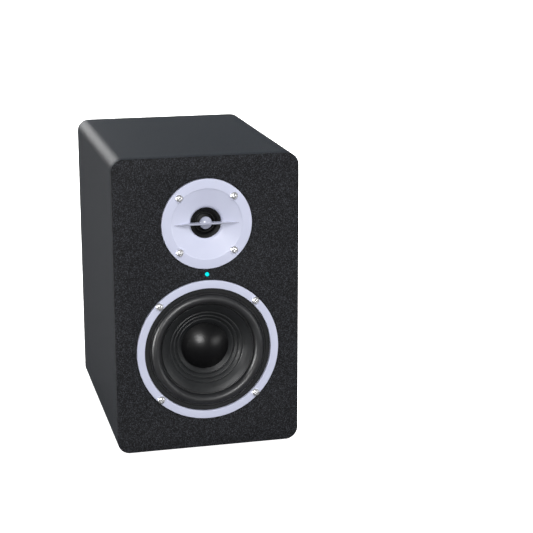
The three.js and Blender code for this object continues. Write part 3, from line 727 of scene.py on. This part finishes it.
def screw_mesh(length):
    """A pan-head cross screw whose head sits at depth 0 and points to the front."""
    thread_start = 1.5
    plain_length = 4
    thread = []
    for turn in range(int((length - plain_length) / THREAD_PITCH)):
        depth = thread_start + turn * THREAD_PITCH
        thread += [
            (CORE_R, depth),
            (THREAD_R, depth + THREAD_PITCH * 0.4),
            (CORE_R, depth + THREAD_PITCH * 0.8),
        ]
    body = spun("screw", [
        (0, -HEAD_HEIGHT),
        (0.75, -HEAD_HEIGHT + 0.02),
        (1.5, -HEAD_HEIGHT + 0.14),
        (2.3, -HEAD_HEIGHT + 0.48),
        (2.85, -HEAD_HEIGHT + 1.0),
        (HEAD_R, -0.5),
        (HEAD_R, -0.12, 0.1),
        (HEAD_R - 0.1, 0),
        (THREAD_R, 0),
        *thread,
        (CORE_R, length - 2.2),
        (0, length),
    ], Vector((0, 0, 0)), steps=48)
    for arm in cross_cutter():
        body = cut(body, arm)
    body.shade_smooth()
    body.set_sharp_from_angle(angle=SHARP_ANGLE)
    # Faces inside the cross recess, below the crown, get the second material, the painted recess shade.
    for face in body.polygons:
        reach = math.hypot(face.center.x, face.center.z) / MM
        crown = -HEAD_HEIGHT * (1 - (reach / HEAD_R) ** 2) - 0.05
        below_crown = crown + 0.2 < face.center.y / MM < 0
        if reach < RECESS_R and below_crown:
            face.material_index = 1
    return body


def add_screws(prefix, length, turns, material, faces_back=False):
    """One screw for each CAD node of this name; turns are the angles of their cross slots."""
    source = screw_mesh(length)
    flip = Matrix.Rotation(math.pi, 4, "X") if faces_back else Matrix.Identity(4)
    for index, turn in enumerate(turns, start=1):
        node = f"{prefix}_{index}"
        low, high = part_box(node)
        seat = high[1] - HEAD_HEIGHT * MM if faces_back else low[1] + HEAD_HEIGHT * MM
        where = Vector((middle(node).x, seat, middle(node).z))
        twist = Matrix.Rotation(math.radians(turn), 4, "Y")
        mesh = source.copy()
        mesh.transform(Matrix.Translation(where) @ flip @ twist)
        head = add_piece(f"{node}_head", mesh, "cabinet", material, [node])
        # Second material: painted shade for the cross recess.
        head.data.materials.append(PAINTED_RECESS_SHADE)


# ---- Tweeter ----

PLATE_PROUD = 0.8
HORN_MOUTH_R = 28.2
HORN_RIM_DEPTH = -0.5
THROAT_R = 12.5
THROAT_DEPTH = 4.6


def horn_depth(radius):
    """Depth of the horn's wall: a shallow cone that rolls over into the throat."""
    inward = (HORN_MOUTH_R - radius) / (HORN_MOUTH_R - THROAT_R)
    fall = 0.74 * inward + 0.26 * inward ** 22
    return HORN_RIM_DEPTH + (THROAT_DEPTH - HORN_RIM_DEPTH) * fall


def blade_mesh(origin):
    """The thin blade across the horn: a straight rounded front edge, and a back that sinks into the
    horn's wall. It thins towards its ends."""
    half = 26.0
    columns = 120
    nose_rows = 7
    end_thickness = 0.24
    swelling = 0.46
    sunk = 0.25
    throat_back = THROAT_DEPTH + 0.2
    vertices = []
    for column in range(columns + 1):
        x = -half + 2 * half * column / columns
        reach = abs(x)
        back = horn_depth(reach) + sunk if reach > THROAT_R else throat_back
        fall = (reach / half) ** 2
        thick = end_thickness + swelling * (1 - fall)
        front = -PLATE_PROUD * (1 - 0.8 * fall)
        nose = thick * 0.75
        loop = [(front + nose, thick)]
        for row in range(nose_rows):
            angle = math.pi / 2 - math.pi * (row + 1) / (nose_rows + 1)
            loop.append((front + nose * (1 - math.cos(angle)), thick * math.sin(angle)))
        loop += [(front + nose, -thick), (back, -thick), (back, thick)]
        vertices += [origin + to_metres(x, depth, z) for depth, z in loop]
    count = len(vertices) // (columns + 1)
    ends = [tuple(range(count)), tuple(range(columns * count, (columns + 1) * count))]
    return mesh_from("blade", vertices, ends + bridge(columns + 1, count, closed=False))


def ball_mesh(origin):
    """The flattened plug at the middle of the blade, cut off flat behind."""
    radius = 5.1
    half_length = 3.5
    depth = 4.6
    steps = 24
    back_cut = 0.6
    outline = []
    for step in range(steps + 1):
        angle = (math.pi - math.acos(back_cut)) * step / steps
        outline.append((radius * math.sin(angle), depth - half_length * math.cos(angle)))
    outline.append((0, depth + half_length * back_cut))
    return spun("ball", outline, origin, steps=64)


def add_horn(origin):
    horn_steps = 40
    wall = []
    for step in range(horn_steps + 1):
        radius = THROAT_R + (HORN_MOUTH_R - THROAT_R) * (step / horn_steps) ** 1.5
        wall.append((radius, horn_depth(radius)))
    plate = spun("tweeter_horn_plate", [
        (THROAT_R, THROAT_DEPTH + 0.5),
        *wall,
        (HORN_MOUTH_R + 0.6, -PLATE_PROUD, 0.6),
        (PLATE_R, -PLATE_PROUD, 0.45),
        (PLATE_R, 4.5),
        (23.5, 4.5),
        (23.5, 8),
        (16.3, 8),
        (16.3, THROAT_DEPTH + 0.6),
        (THROAT_R + 0.1, THROAT_DEPTH + 0.6),
    ], origin)
    add_piece("tweeter_horn_plate", plate, "cabinet", SILVER,
              ["tweeter_faceplate"])

    blade = joined("tweeter_blade_and_ball", blade_mesh(origin), ball_mesh(origin))
    add_piece("tweeter_blade_and_ball", blade, "cabinet", GLOSSY_SILVER,
              ["tweeter_phase_blade"])

    throat = spun("tweeter_throat", [
        (THROAT_R - 0.05, THROAT_DEPTH + 0.35, 0.15),
        (10.8, 5.5),
        (9.5, 6.5, 0.4),
        (9.2, 7.8),
        (15.9, 7.8),
        (15.9, 5.6),
        (THROAT_R - 0.05, 5.6),
    ], origin)
    add_piece("tweeter_throat", throat, "cabinet", THROAT_PLASTIC,
              ["tweeter_throat_ring"])


def add_silk(origin):
    """The tweeter's dome and the small roll round it."""
    roll_centre = 7.75
    roll_steps = 10
    over = arch(roll_centre, 8.1, 0.85, 0.8, roll_steps)
    under = arch(roll_centre, 8.2, 0.5, 0.5, roll_steps)
    roll = spun("tweeter_roll", [
        (15.3, 8.3),
        (9.0, 8.3),
        *over,
        (6.45, 9.5),
        (6.45, 9.8),
        *reversed(under),
        (9.0, 8.7),
        (15.3, 8.7),
    ], origin)
    add_blended("tweeter_roll", roll, SILK, "tweeter_surround",
                "tweeter_diaphragm", origin, outer=8.9, inner=6.5)

    dome_r = 6.4
    dome_steps = 12
    silk = 0.3
    parts = [step / dome_steps for step in range(dome_steps + 1)]
    front = [(dome_r * step / dome_steps, 8.5 + 1.0 * part ** 2) for step, part in enumerate(parts)]
    back = [(radius, depth + silk) for radius, depth in reversed(front)]
    dome = spun("tweeter_silk_dome", [*front, *back], origin)
    add_piece("tweeter_silk_dome", dome, "tweeter_diaphragm", SILK, ["tweeter_dome"])


def add_tweeter():
    origin = Vector((TWEETER.x, FRONT, TWEETER.z))
    add_horn(origin)
    add_silk(origin)
    add_screws("tweeter_screw", 14, (12, 62, 38, 75), CHROME)


# ---- Woofer ----

RING_HOLE_R = 51.7
RING_PROUD = 1.2


def add_bezel(origin):
    ring = spun("woofer_bezel", [
        (RING_HOLE_R, 2.1),
        (RING_HOLE_R, -RING_PROUD, 0.35),
        (RING_R, -RING_PROUD, 0.45),
        (RING_R, 2.1),
    ], origin)
    add_piece("woofer_bezel", ring, "cabinet", SILVER, ["woofer_trim_ring"])

    gasket = spun("woofer_gasket_ring", [
        (51.3, 1.3),
        (51.3, 0.55, 0.2),
        (47.9, 0.55, 0.3),
        (47.8, 1.3),
    ], origin)
    add_piece("woofer_gasket_ring", gasket, "cabinet", GASKET, ["woofer_gasket"])


def add_half_roll(origin):
    """The rubber surround: a raised lip outside, then a half-roll that reaches under the cone."""
    centre = 42.6
    radius = 3.9
    rubber = 0.5
    base = 1.8
    steps = 20
    hidden_by_lip = 3
    over = arch(centre, base, radius, radius, steps)
    under = arch(centre, base, radius - rubber, radius - rubber, steps)
    roll = spun("woofer_half_roll", [
        (51.3, base - 0.2),
        (47.5, base - 0.2),
        (47.4, 0.6),
        (46.95, -0.15, 0.35),
        (46.55, -0.1, 0.2),
        (46.4, 1.1, 0.1),
        *over[hidden_by_lip:],
        (38.6, 3.6, 0.2),
        (36.8, 3.9),
        (36.8, 4.4),
        (39.0, 4.2),
        *reversed(under),
        (46.9, base + 0.3),
        (51.3, base + 0.3),
    ], origin, sharp=PRESSED_ANGLE)
    add_blended("woofer_half_roll", roll, ROLL, "woofer_surround",
                "woofer_diaphragm", origin, outer=46.4, inner=38.4)


def add_cone(origin):
    """The cone with its three ribs, and the dust cap over its middle."""
    paper = 0.7
    front = [
        (37.7, 3.8),
        (37.5, 2.5, 0.1),
        (37.1, 2.0, 0.15),
        (33.6, 4.1, 6),
        (30.6, 6.2, 0.6),
        (30.1, 6.9, 0.3),
        (29.4, 6.4, 0.7),
        (27.5, 7.9, 1.0),
        (26.9, 9.0, 0.3),
        (26.2, 8.5, 0.7),
        (24.3, 9.9, 1.0),
        (23.6, 11.2, 0.3),
        (22.9, 10.4, 0.7),
        (19.0, 13.0, 1.0),
        (13.2, 14.4),
    ]
    behind_lip = 3
    back = [(radius, depth + paper) for radius, depth, *_ in reversed(front[behind_lip:])]
    cone = spun("woofer_ribbed_cone", [*front, *back, (36.2, 3.8)], origin, sharp=PRESSED_ANGLE)
    add_piece("woofer_ribbed_cone", cone, "woofer_diaphragm", CONE, ["woofer_cone"])

    cap_r = 19.2
    cap_base = 11.8
    cap_rise = 7.4
    cap_steps = 30
    cap_paper = 0.5
    parts = [step / cap_steps for step in range(cap_steps + 1)]
    over = [(cap_r * part, cap_base - cap_rise * (1 - part ** 2)) for part in parts]
    under = [(radius, depth + cap_paper) for radius, depth in reversed(over)]
    cap = spun("woofer_cap", [*over, *under], origin)
    add_piece("woofer_cap", cap, "woofer_diaphragm", CAP, ["woofer_dust_cap"])


def add_spider(origin):
    """The folded cloth ring that centres the voice coil behind the cone."""
    coil_r = 13.2
    depth = 17
    rim = (35, 17.54)
    fold_start = 15.5
    fold_end = 29
    fold_width = 6
    fold_height = 0.6
    fold_steps = 36
    cloth = 0.4
    front = [(coil_r, depth)]
    for step in range(fold_steps + 1):
        radius = fold_start + (fold_end - fold_start) * step / fold_steps
        turn = 2 * math.pi * (radius - fold_start) / fold_width
        front.append((radius, depth + fold_height * math.sin(turn)))
    front.append(rim)
    back = [(radius, level + cloth) for radius, level in reversed(front)]
    spider = spun("woofer_folded_spider", [*front, *back], origin, steps=96)
    add_blended("woofer_folded_spider", spider, SPIDER_CLOTH, "woofer_spider",
                "woofer_diaphragm", origin, outer=34, inner=coil_r)


def add_woofer():
    origin = Vector((WOOFER.x, FRONT, WOOFER.z))
    add_bezel(origin)
    add_half_roll(origin)
    add_cone(origin)
    add_spider(origin)
    add_screws("woofer_screw", 14, (20, 55, 70, 33), CHROME)


# ---- Power light ----

def add_lamp():
    lens_back = 8.9
    lens = spun("power_lamp", [
        (0, -0.35),
        (0.7, -0.3),
        (1.1, -0.12),
        (LAMP_R, 0.25, 0.3),
        (LAMP_R, lens_back),
        (0, lens_back),
    ], Vector((LAMP.x, FRONT, LAMP.z)), steps=48)
    add_piece("power_lamp", lens, "cabinet", LENS, ["led_lens"])


# ---- CAD nodes that stay as they are ----

CAD_LOOKS = {
    BOARD: ["woofer_terminal_strip"],
    BACK_PAINT: ["front_baffle", "back_panel"],
    WADDING: ["damping_wadding"],
    STEEL: [
        "woofer_basket", "woofer_top_plate", "woofer_back_plate", "tweeter_top_plate",
        "tweeter_yoke", "transformer", "volume_shaft", "volume_potentiometer",
    ],
    FERRITE: ["woofer_magnet", "tweeter_magnet"],
    COPPER: ["woofer_voice_coil", "tweeter_voice_coil"],
    CIRCUIT: ["amp_board", "crossover_board"],
    PLATE_PAINT: ["amp_plate"],
    ALUMINIUM: ["heat_sink"],
    BLACK_PLASTIC: [
        "power_inlet", "power_switch_housing", "power_switch_rocker", "terminal_block",
        "terminal_lever_black",
    ],
    RED_PLASTIC: ["terminal_lever_red"],
}
BEVEL_WIDTHS = {
    "amp_plate": 0.4,
    "heat_sink": 0.3,
    "power_inlet": 0.4,
    "power_switch_housing": 0.4,
    "power_switch_rocker": 0.5,
    "terminal_block": 0.4,
    "terminal_lever_red": 0.5,
    "terminal_lever_black": 0.5,
}


def dress_cad_nodes():
    """Gives the CAD nodes that stay their materials, and soft edges where they are seen."""
    for material, nodes in CAD_LOOKS.items():
        for node in nodes:
            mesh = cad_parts[node].data
            mesh.materials.clear()
            mesh.materials.append(material)
    for node, width in BEVEL_WIDTHS.items():
        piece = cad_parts[node]
        flat = piece.modifiers.new("merge_flats", "DECIMATE")
        flat.decimate_type = "DISSOLVE"
        flat.angle_limit = math.radians(1)
        bevel = piece.modifiers.new("edges", "BEVEL")
        bevel.width = width * MM
        bevel.segments = 2
        bevel.limit_method = "ANGLE"
        bevel.angle_limit = math.radians(40)


# ---- Back controls ----

SCALE_TURN = 300
NUT_ANGLE = math.radians(20)


def rear_centre(node):
    """The middle of a node in x and z, in metres."""
    low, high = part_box(node)
    return (low[0] + high[0]) / 2, (low[2] + high[2]) / 2


def add_knob():
    origin = Vector((KNOB.x, REAR, KNOB.z))
    base = spun("knob_base", [
        (3.3, 0.8),
        (8.9, 0.8, 0.3),
        (8.9, 2.4, 0.4),
        (8.2, 2.8, 0.3),
        (7.9, 13.2, 0.5),
        (7.2, 14.0, 0.4),
        (0, 13.7),
        (0, 9.3),
        (3.3, 9.3),
    ], origin, steps=96)
    rib_count = 24
    rib_circle = 8.05
    rib_r = 0.42
    ribs = []
    for rib in range(rib_count):
        angle = 2 * math.pi * (rib + 0.5) / rib_count
        place = to_metres(rib_circle * math.sin(angle), 0, rib_circle * math.cos(angle))
        ribs.append(spun("rib", [
            (0, 2.9),
            (rib_r, 2.9),
            (rib_r, 12.4),
            (0.2, 12.9),
            (0, 12.9),
        ], origin + place, steps=10))
    knob = joined("volume_knob_cap", base, *ribs)
    add_piece("volume_knob_cap", knob, "volume_control", BLACK_PLASTIC,
              ["volume_knob"])
    pointer = box_mesh("volume_pointer", (-0.45, 13.6, 2.4), (0.45, 13.95, 7.0), origin)
    add_detail("volume_pointer", pointer, "volume_control", MARKING)


def add_scale():
    """Tick marks round the volume knob, from full down to full up."""
    origin = Vector((KNOB.x, REAR, KNOB.z))
    tick_count = 11
    inner, short, long = 10.6, 12.0, 13.0
    ticks = []
    for tick in range(tick_count):
        angle = math.radians(-SCALE_TURN / 2 + SCALE_TURN * tick / (tick_count - 1))
        outer = long if tick in (0, tick_count // 2, tick_count - 1) else short
        mesh = box_mesh("tick", (-0.25, 0, inner), (0.25, 0.06, outer), Vector((0, 0, 0)))
        mesh.transform(Matrix.Translation(origin) @ Matrix.Rotation(angle, 4, "Y"))
        ticks.append(mesh)
    scale = joined("volume_scale", *ticks)
    add_detail("volume_scale", scale, "cabinet", MARKING)


def add_trs_jacks():
    """Two jack sockets in one housing, each with a hexagonal nut."""
    x, z = rear_centre("trs_jacks")
    half_pitch = 11 * MM
    places = [Vector((x - half_pitch, REAR, z)), Vector((x + half_pitch, REAR, z))]
    parts = [box_mesh("trs_body", (-19, -28.3, -7.5), (19, -2.3, 7.5), Vector((x, REAR, z)))]
    for origin in places:
        parts.append(spun("trs_bush", [
            (3.3, -23),
            (3.3, 2.9, 0.4),
            (4.6, 2.9, 0.3),
            (4.8, 2.2),
            (4.8, -2.4),
            (5.4, -2.4),
            (5.4, -23),
        ], origin, steps=48))
    jacks = joined("trs_sockets", *parts)
    add_piece("trs_sockets", jacks, "cabinet", BLACK_PLASTIC, ["trs_jacks"])
    for index, origin in enumerate(places, start=1):
        nut = spun("nut", [(4.9, 0), (8.0, 0, 0.3), (8.0, 1.8, 0.5), (4.9, 1.8)], origin,
                   steps=6, sharp=NUT_ANGLE)
        add_detail(f"trs_nut_{index}", nut, "cabinet", NICKEL)


def add_rca_jacks():
    """Two coaxial sockets in one housing, with a white insert above and a red one below."""
    x, z = rear_centre("rca_jacks")
    half_pitch = 8 * MM
    upper = Vector((x, REAR, z + half_pitch))
    lower = Vector((x, REAR, z - half_pitch))
    barrels = [box_mesh("rca_body", (-6.5, -14.3, -14), (6.5, -2.3, 14), Vector((x, REAR, z)))]
    for origin in (lower, upper):
        barrels.append(spun("rca_barrel", [
            (3.6, -2.4),
            (3.6, 8.7, 0.2),
            (4.15, 9.0, 0.2),
            (4.15, 0.8, 0.1),
            (6.2, 0.8, 0.2),
            (6.2, 0.0),
            (4.3, 0.0),
            (4.3, -2.4),
        ], origin, steps=48))
    sockets = joined("rca_sockets", *barrels)
    add_piece("rca_sockets", sockets, "cabinet", NICKEL, ["rca_jacks"])
    for name, material, origin in (
        ("rca_insert_white", WHITE_PLASTIC, upper),
        ("rca_insert_red", RED_PLASTIC, lower),
    ):
        insert = spun(name, [
            (1.7, 0.5),
            (1.7, 8.0, 0.2),
            (3.5, 8.0, 0.2),
            (3.5, 0.5),
        ], origin, steps=48)
        add_detail(name, insert, "cabinet", material)


# ---- Stage ----

def add_floor():
    """A pale sheet of paper. What lights the object off it is darker than what the camera sees."""
    half = 20
    mesh = bpy.data.meshes.new("floor")
    corners = [(-half, -half, 0), (half, -half, 0), (half, half, 0), (-half, half, 0)]
    mesh.from_pydata(corners, [], [(0, 1, 2, 3)])
    floor = bpy.data.objects.new("floor", mesh)
    bpy.context.scene.collection.objects.link(floor)
    paper = Look("floor_paper", 0.9, specular=0.0)
    paper.mottle(paper.noise(3), (0.90, 0.90, 0.90), (0.92, 0.92, 0.92))
    paper.shader.inputs["Emission Color"].default_value = (1, 1, 1, 1)
    paper.shader.inputs["Emission Strength"].default_value = 1.0
    bounce = paper.nodes.new("ShaderNodeBsdfDiffuse")
    bounce.inputs["Color"].default_value = (0.11, 0.11, 0.115, 1)
    path = paper.nodes.new("ShaderNodeLightPath")
    mix = paper.nodes.new("ShaderNodeMixShader")
    paper.links.new(path.outputs["Is Camera Ray"], mix.inputs["Fac"])
    paper.links.new(bounce.outputs["BSDF"], mix.inputs[1])
    paper.links.new(paper.shader.outputs["BSDF"], mix.inputs[2])
    paper.links.new(mix.outputs["Shader"], paper.nodes["Material Output"].inputs["Surface"])
    mesh.materials.append(paper.material)


ROOM_AT_HORIZON = 0.13
ROOM_OVERHEAD = 0.28
ROOM_MIRRORED = 0.14


def add_room():
    """A white backdrop, and a soft overhead light that fades from the ceiling to the horizon.

    The ceiling is darker where it is mirrored than where it lights."""
    world = bpy.data.worlds.new("studio")
    bpy.context.scene.world = world
    world.use_nodes = True
    nodes = world.node_tree.nodes
    links = world.node_tree.links
    nodes.clear()
    backdrop = nodes.new("ShaderNodeBackground")
    backdrop.inputs["Color"].default_value = (1, 1, 1, 1)
    backdrop.inputs["Strength"].default_value = 1.0
    direction = nodes.new("ShaderNodeTexCoord")
    parts = nodes.new("ShaderNodeSeparateXYZ")
    fade = nodes.new("ShaderNodeMapRange")
    fade.inputs["From Min"].default_value = 0.0
    fade.inputs["From Max"].default_value = 1.0
    fade.inputs["To Min"].default_value = ROOM_AT_HORIZON
    reach = nodes.new("ShaderNodeMapRange")
    reach.inputs["To Min"].default_value = ROOM_OVERHEAD
    reach.inputs["To Max"].default_value = ROOM_MIRRORED
    ceiling = nodes.new("ShaderNodeBackground")
    ceiling.inputs["Color"].default_value = (0.97, 0.985, 1.0, 1)
    path = nodes.new("ShaderNodeLightPath")
    mix = nodes.new("ShaderNodeMixShader")
    output = nodes.new("ShaderNodeOutputWorld")
    links.new(direction.outputs["Generated"], parts.inputs["Vector"])
    links.new(parts.outputs["Z"], fade.inputs["Value"])
    links.new(path.outputs["Is Glossy Ray"], reach.inputs["Value"])
    links.new(reach.outputs["Result"], fade.inputs["To Max"])
    links.new(fade.outputs["Result"], ceiling.inputs["Strength"])
    links.new(path.outputs["Is Camera Ray"], mix.inputs["Fac"])
    links.new(ceiling.outputs["Background"], mix.inputs[1])
    links.new(backdrop.outputs["Background"], mix.inputs[2])
    links.new(mix.outputs["Shader"], output.inputs["Surface"])


def add_stage():
    settings = bpy.context.scene.view_settings
    settings.view_transform = "Standard"
    settings.look = "None"
    add_floor()
    add_room()
    target = (WOOFER + TWEETER) / 2
    add_softbox("front", target, -14, 15, distance=1.9, size=0.5, power=21)
    add_softbox("overhead", target, 26, 52, distance=1.8, size=0.8, power=20, gloss=False)
    add_softbox("left", target, -78, -1, distance=0.9, size=0.36, power=9, diffuse=False)
    add_softbox("right", target, 45, -5, distance=0.9, size=0.42, power=1.8, diffuse=False)
    add_softbox("fill", target, 62, -14, distance=0.7, size=0.4, power=1.2, gloss=False)
    add_softbox("side", target, -97, -4, distance=1.4, size=0.3, power=10)
    add_softbox("rear", target, 158, 28, distance=1.9, size=0.6, power=38, gloss=False)
    add_softbox("edge", target, -166, 16, distance=1.9, size=0.7, power=6)


def add_softbox(name, target, azimuth, elevation, distance, size, power, diffuse=True, gloss=True):
    """A square light aimed at the target. Azimuth 0 is in front, and 90 is on the right."""
    turn = math.radians(azimuth)
    rise = math.radians(elevation)
    level = math.cos(rise)
    away = Vector((math.sin(turn) * level, -math.cos(turn) * level, math.sin(rise)))
    data = bpy.data.lights.new(name, "AREA")
    data.shape = "SQUARE"
    data.size = size
    data.energy = power
    light = bpy.data.objects.new(name, data)
    light.location = target + away * distance
    light.rotation_euler = (-away).to_track_quat("-Z", "Y").to_euler()
    light.visible_camera = False
    light.visible_diffuse = diffuse
    light.visible_glossy = gloss
    bpy.context.scene.collection.objects.link(light)


add_wrap()
add_face()
add_feet()
add_port()
add_tweeter()
add_woofer()
add_lamp()
add_knob()
add_scale()
add_trs_jacks()
add_rca_jacks()
add_screws("amp_plate_screw", 11, (15, 80, 40, 60), BLACK_SCREW, faces_back=True)
dress_cad_nodes()
add_stage()
